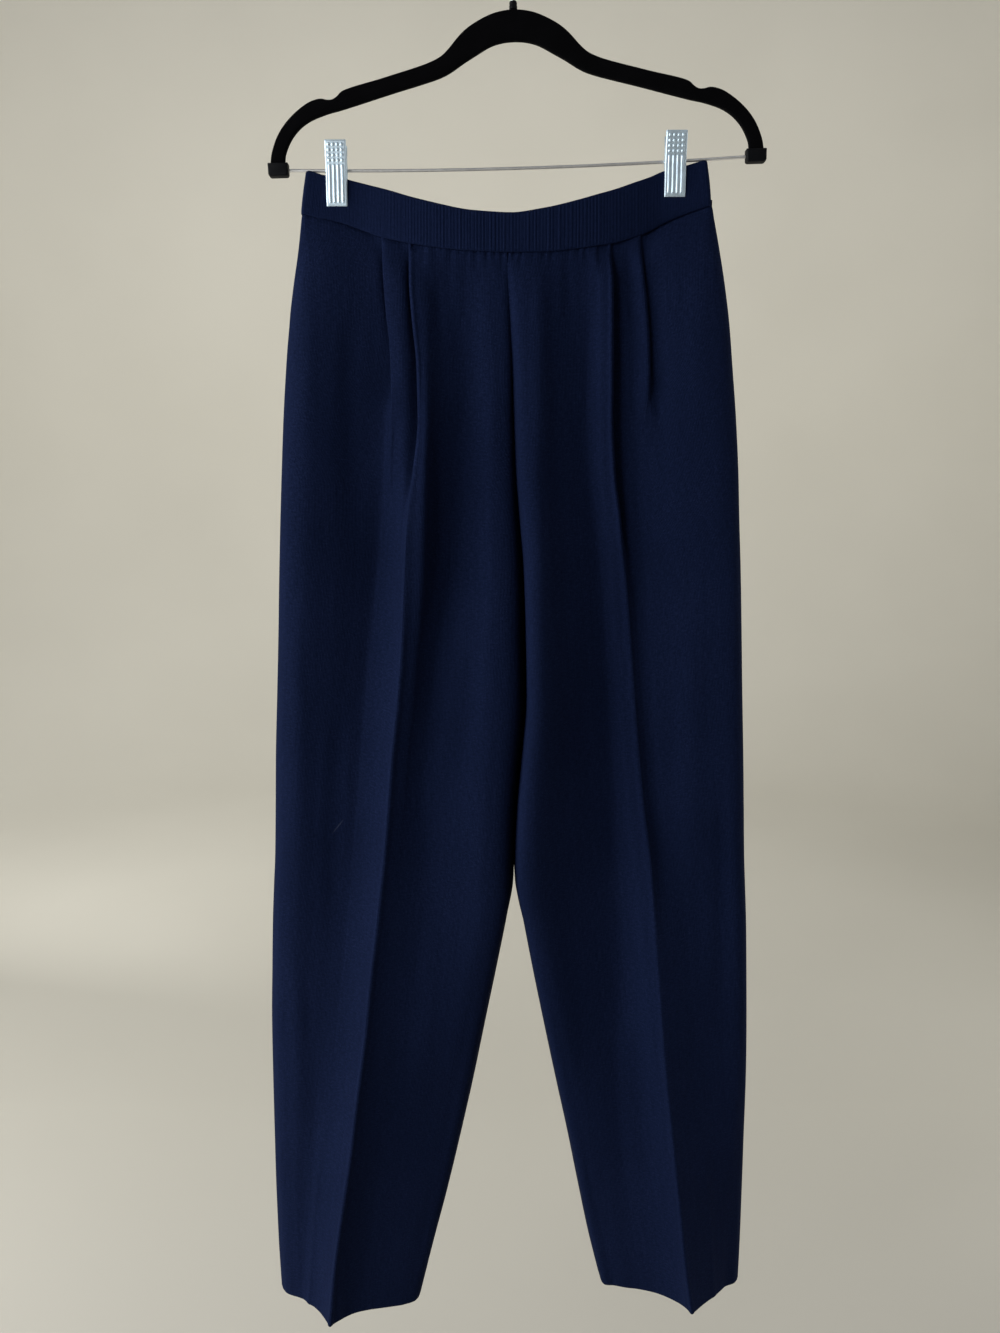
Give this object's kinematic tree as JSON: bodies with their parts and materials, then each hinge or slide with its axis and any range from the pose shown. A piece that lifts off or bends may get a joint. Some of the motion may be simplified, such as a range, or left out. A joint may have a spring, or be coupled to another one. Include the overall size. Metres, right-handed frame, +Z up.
{
  "type": "pull-on knit trousers on a clip hanger",
  "caption": "Pull-on pleated knit trousers with a ribbed elastic waistband and pressed creases, hanging by two metal clips from a slim velvet trouser hanger.",
  "frame": {"origin": "inside top of the hanger's hook, where the rail or nail holds it", "axes": "+Z up, the front of the trousers faces -Y, +X towards the wearer's left; everything hangs below the origin"},
  "size_m": [0.4527, 0.1088, 1.2376],
  "materials": {
    "knit": "fine navy knit, matt with a faint wool sheen, fine upright wales",
    "rib_knit": "the same navy yarn in a fine upright rib",
    "velvet": "black flocked velvet, very matt",
    "black_plastic": "black moulded plastic, half matt",
    "zinc_steel": "pressed steel, pale bright zinc plating",
    "bright_steel": "bright steel wire"
  },
  "bodies": {
    "root": {"front_right": "knit", "front_left": "knit", "back_right": "knit", "back_left": "knit", "waistband": "rib_knit", "hanger_body": "velvet", "hanger_collar": "black_plastic", "hanger_cap_right": "black_plastic", "hanger_cap_left": "black_plastic", "hanger_hook": "bright_steel", "hanger_rod": "bright_steel", "clip_right_front": "zinc_steel", "clip_right_rear": "zinc_steel", "clip_right_spring": "bright_steel", "clip_left_front": "zinc_steel", "clip_left_rear": "zinc_steel", "clip_left_spring": "bright_steel"}
  },
  "joints": []
}
